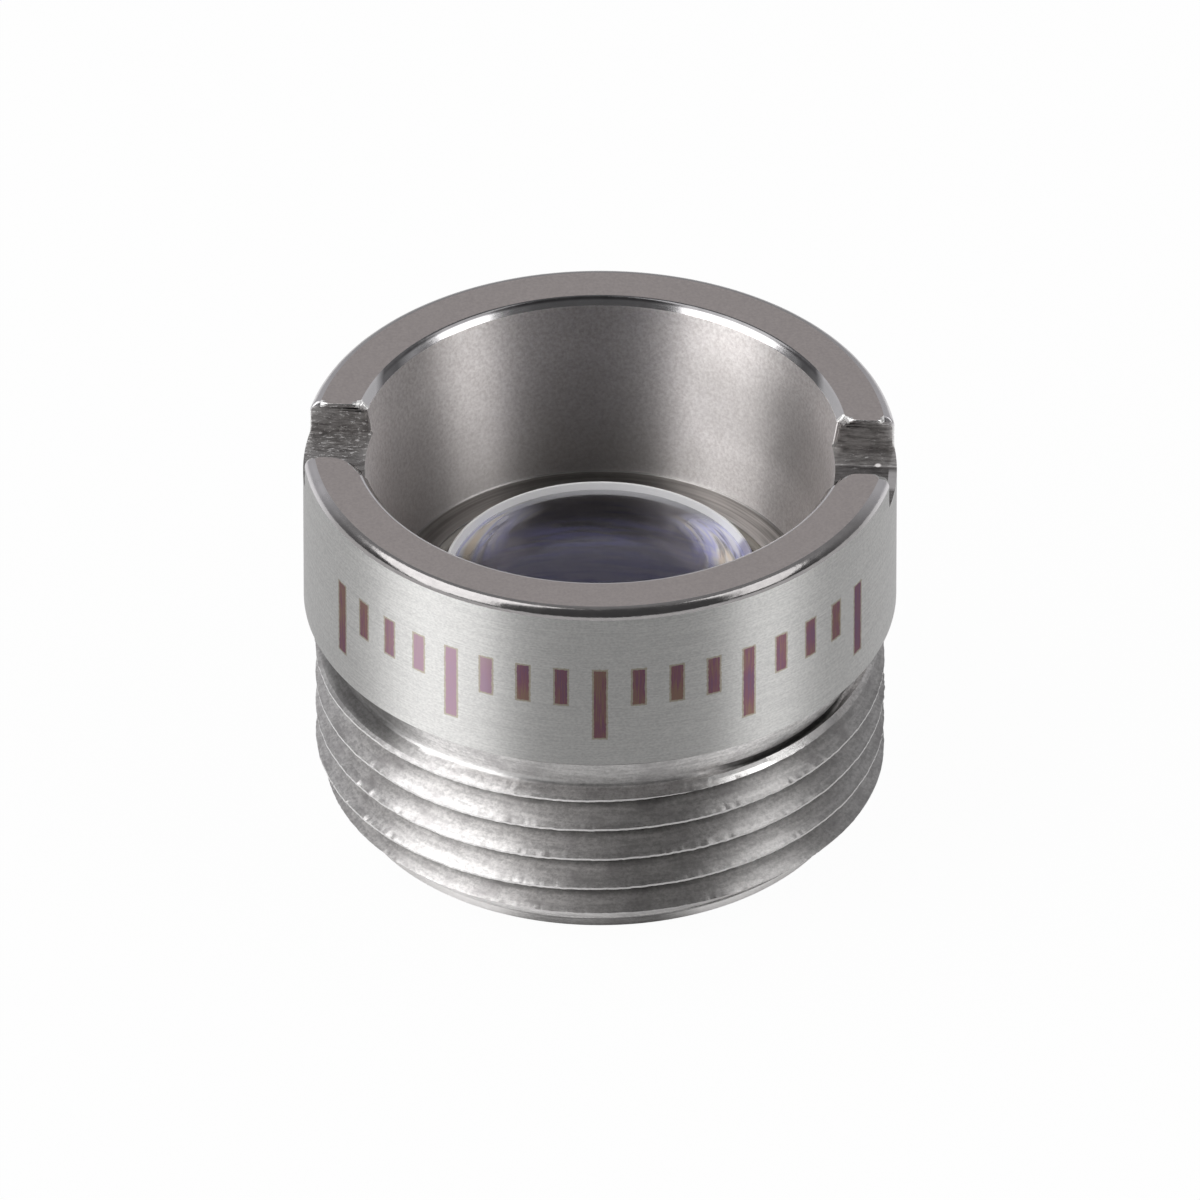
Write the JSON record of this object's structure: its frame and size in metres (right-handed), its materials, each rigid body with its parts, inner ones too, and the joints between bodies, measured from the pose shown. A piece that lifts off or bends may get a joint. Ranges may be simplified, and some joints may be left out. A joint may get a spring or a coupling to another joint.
{
  "type": "mounted aspheric lens",
  "caption": "Moulded aspheric lens bonded into a short steel cell with a fine thread, a smooth band and a spanner-slotted rim, for collimating or focusing a beam.",
  "frame": {"origin": "centre of the threaded end face, on the optical axis", "axes": "+Z along the optical axis from the threaded end to the slotted rim, X along the two spanner slots"},
  "size_m": [0.0082, 0.0082, 0.0058],
  "materials": {
    "cell_steel": "turned, satin band with a fine horizontal grain, matte rim face and recess",
    "lens_glass": "polished, anti-reflection coated with a blue-violet reflection",
    "adhesive": "clear cured adhesive"
  },
  "bodies": {
    "root": {"lens_cell": "cell_steel", "aspheric_lens": "lens_glass", "bond_ring": "adhesive"}
  },
  "joints": []
}
